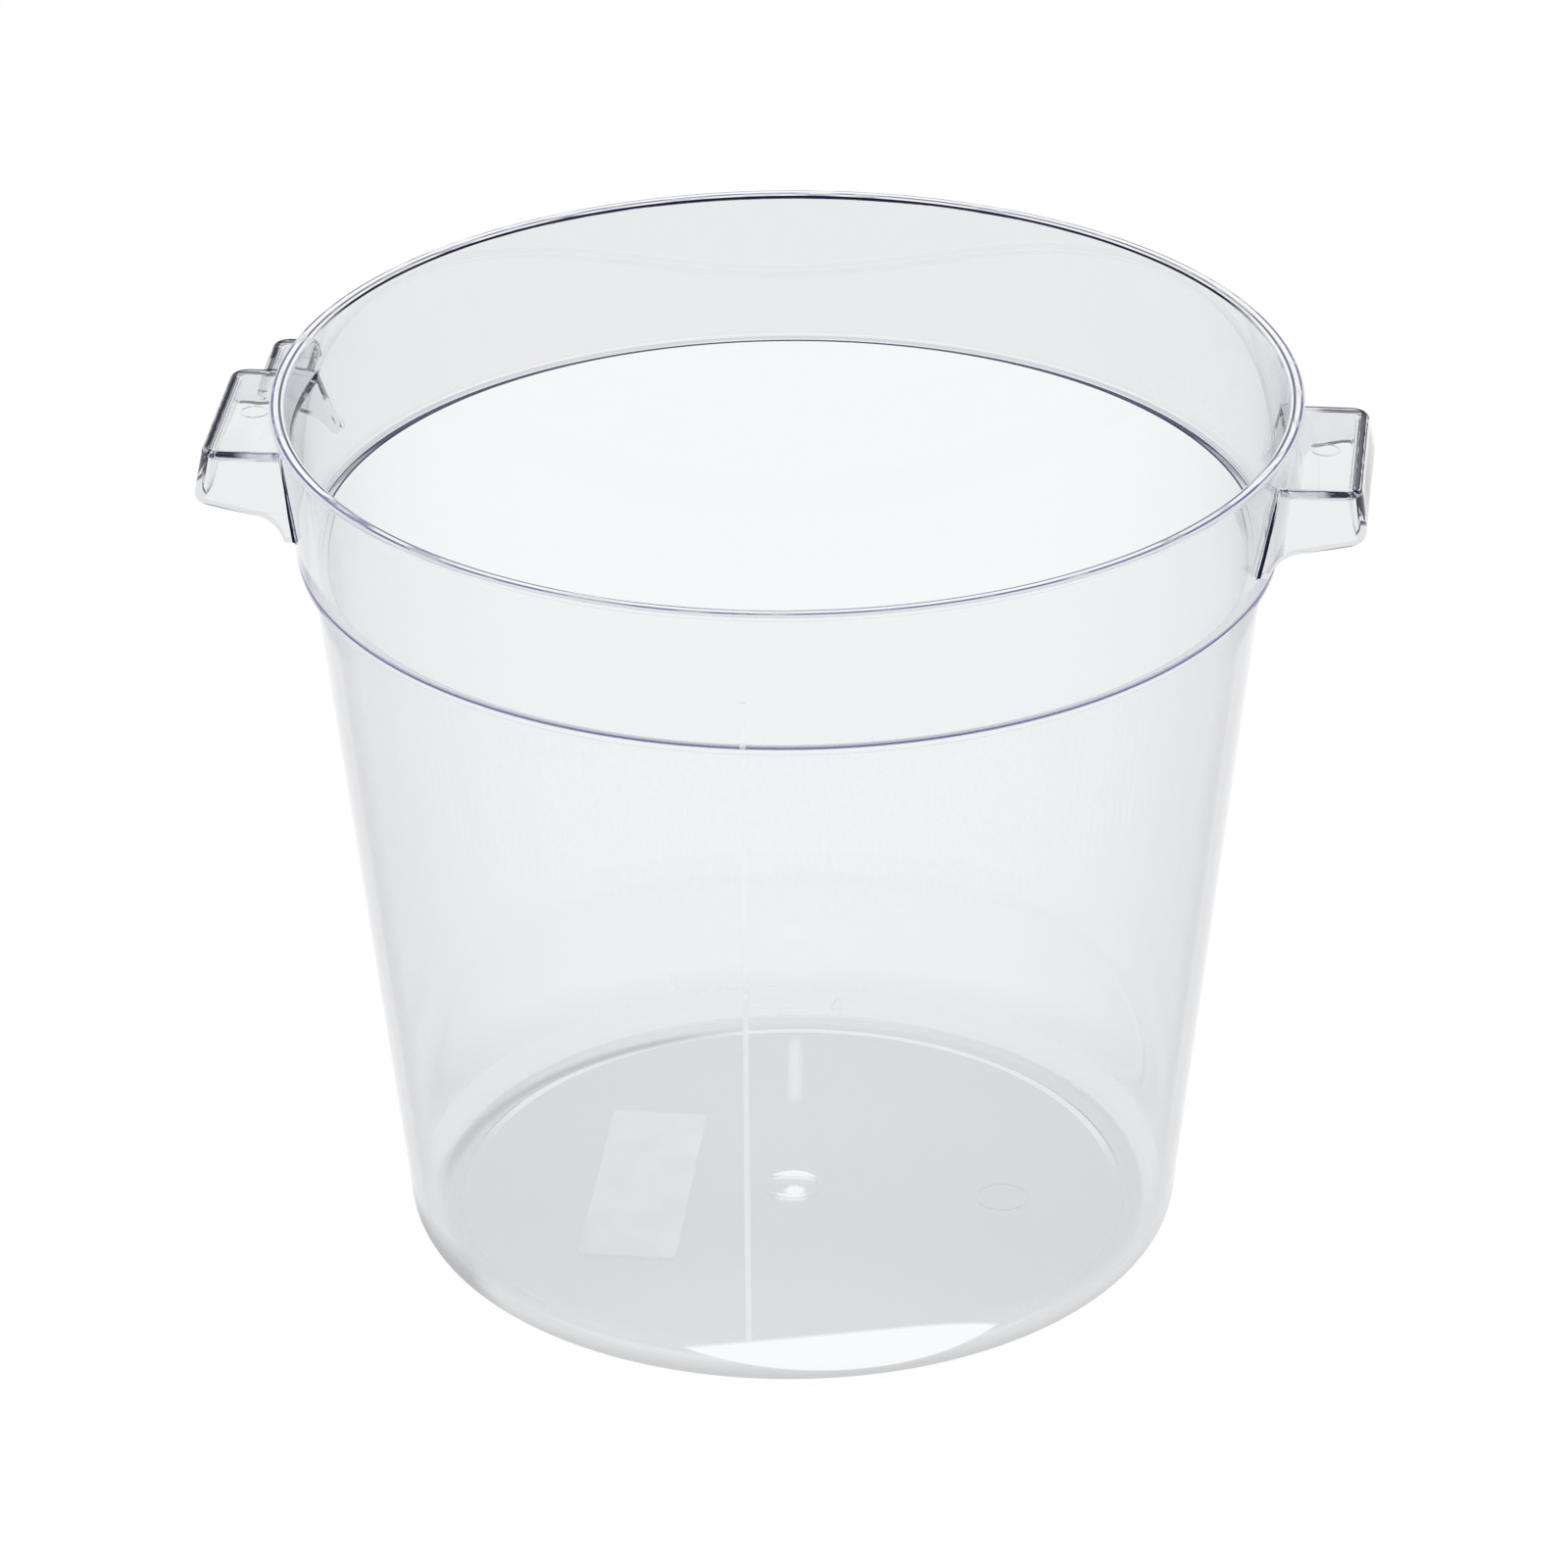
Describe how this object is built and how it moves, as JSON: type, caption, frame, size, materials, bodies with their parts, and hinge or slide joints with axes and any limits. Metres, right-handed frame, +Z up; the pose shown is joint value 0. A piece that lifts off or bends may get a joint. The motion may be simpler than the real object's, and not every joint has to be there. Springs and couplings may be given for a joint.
{
  "type": "food storage container",
  "caption": "Clear round open-topped food storage container, tapered, with a stepped collar, flanged rim and side handles.",
  "frame": {"origin": "centre of the base, on the plane the container stands on", "axes": "+Z up along the container's axis, the two handles along +X and -X, the graduation on the -Y side"},
  "size_m": [0.2918, 0.258, 0.231],
  "materials": {
    "clear_plastic": "clear glossy plastic",
    "label_paper": "matt off-white paper"
  },
  "bodies": {
    "root": {"container": "clear_plastic", "label": "label_paper"}
  },
  "joints": []
}
